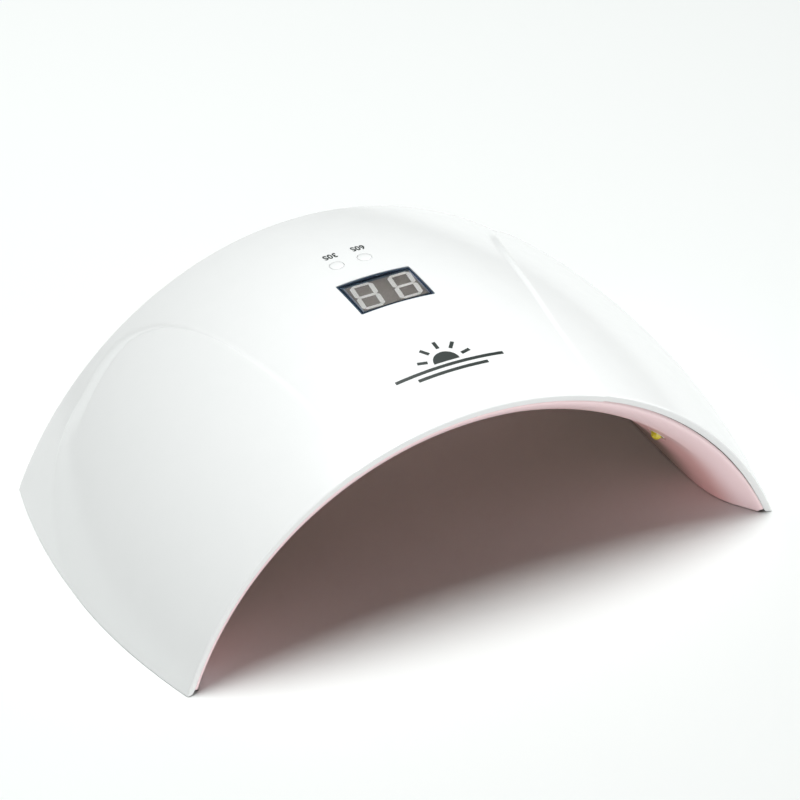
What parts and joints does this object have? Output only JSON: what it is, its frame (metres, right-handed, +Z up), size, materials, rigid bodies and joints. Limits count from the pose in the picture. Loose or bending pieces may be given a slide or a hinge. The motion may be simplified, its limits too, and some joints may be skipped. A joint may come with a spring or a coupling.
{
  "type": "uv curing lamp",
  "caption": "Table-top UV curing lamp: a white arched cover over a pink liner set with LEDs, open at front and rear, with a digit display and press buttons on top.",
  "frame": {"origin": "middle of the bounding box at the undersides of the foot pads, on the table", "axes": "+X across the arch, to the right seen from the front; -Y out of the front opening; +Z up"},
  "size_m": [0.2066, 0.1209, 0.0699],
  "materials": {
    "white_gloss_plastic": "glossy white moulded ABS",
    "pink_gloss_plastic": "satin pink moulded plastic, a little translucent",
    "navy_bezel": "glossy navy",
    "smoked_window": "clear smoked acrylic",
    "display_face": "matt grey face with paler segments",
    "charcoal_plastic": "matt",
    "black_plastic": "satin",
    "black_insulation": "satin wire insulation",
    "red_insulation": "satin wire insulation",
    "grey_rubber": "matt silicone rubber",
    "plated_steel": "zinc plated",
    "aluminium_can": "satin can",
    "board_laminate": "green solder mask",
    "strip_laminate": "white solder mask",
    "led_phosphor": "yellow phosphor under a clear dome"
  },
  "bodies": {
    "housing": {"board_screw_front_left": "plated_steel", "board_screw_front_right": "plated_steel", "board_screw_rear_left": "plated_steel", "board_screw_rear_right": "plated_steel", "capacitor": "aluminium_can", "control_board": "board_laminate", "dc_socket": "black_plastic", "dc_socket_pin": "plated_steel", "digit_tens": "display_face", "digit_units": "display_face", "display_bezel": "navy_bezel", "display_body": "charcoal_plastic", "display_window": "smoked_window", "driver_coil": "charcoal_plastic", "foot_pad_front_left": "grey_rubber", "foot_pad_front_right": "grey_rubber", "foot_pad_rear_left": "grey_rubber", "foot_pad_rear_right": "grey_rubber", "foot_plate_left": "pink_gloss_plastic", "foot_plate_right": "pink_gloss_plastic", "foot_screw_front_left": "plated_steel", "foot_screw_front_right": "plated_steel", "foot_screw_rear_left": "plated_steel", "foot_screw_rear_right": "plated_steel", "inner_liner": "pink_gloss_plastic", "lead_minus": "black_insulation", "lead_plus": "red_insulation", "lead_sensor": "black_insulation", "lead_strip_front": "red_insulation", "lead_strip_rear": "red_insulation", "led_front_centre": "led_phosphor", "led_front_far_left": "led_phosphor", "led_front_far_right": "led_phosphor", "led_front_left": "led_phosphor", "led_front_right": "led_phosphor", "led_middle_centre": "led_phosphor", "led_middle_far_left": "led_phosphor", "led_middle_far_right": "led_phosphor", "led_middle_left": "led_phosphor", "led_middle_right": "led_phosphor", "led_rear_centre": "led_phosphor", "led_rear_far_left": "led_phosphor", "led_rear_far_right": "led_phosphor", "led_rear_left": "led_phosphor", "led_rear_right": "led_phosphor", "led_strip_front": "strip_laminate", "led_strip_middle": "strip_laminate", "led_strip_rear": "strip_laminate", "outer_cover": "white_gloss_plastic", "sensor_module": "charcoal_plastic", "sensor_window": "smoked_window", "switch_30s": "charcoal_plastic", "switch_60s": "charcoal_plastic", "timer_chip": "black_plastic"},
    "button_30s": {"button_30s": "white_gloss_plastic"},
    "button_60s": {"button_60s": "white_gloss_plastic"},
    "plunger_30s": {"plunger_30s": "grey_rubber"},
    "plunger_60s": {"plunger_60s": "grey_rubber"}
  },
  "joints": [
    {"name": "press_30s", "type": "slide", "parent": "housing", "child": "button_30s", "axis": [0, 0, -1], "range_m": [0, 0.0005], "stiffness_N_per_m": 600, "springref_m": -0.0005},
    {"name": "press_60s", "type": "slide", "parent": "housing", "child": "button_60s", "axis": [0, 0, -1], "range_m": [0, 0.0005], "stiffness_N_per_m": 600, "springref_m": -0.0005},
    {"name": "click_30s", "type": "slide", "parent": "housing", "child": "plunger_30s", "axis": [0, 0, -1], "range_m": [0, 0.0005]},
    {"name": "click_60s", "type": "slide", "parent": "housing", "child": "plunger_60s", "axis": [0, 0, -1], "range_m": [0, 0.0005]}
  ],
  "couplings": [
    {"joint": "click_30s", "follows": "press_30s", "ratio": 1},
    {"joint": "click_60s", "follows": "press_60s", "ratio": 1}
  ]
}
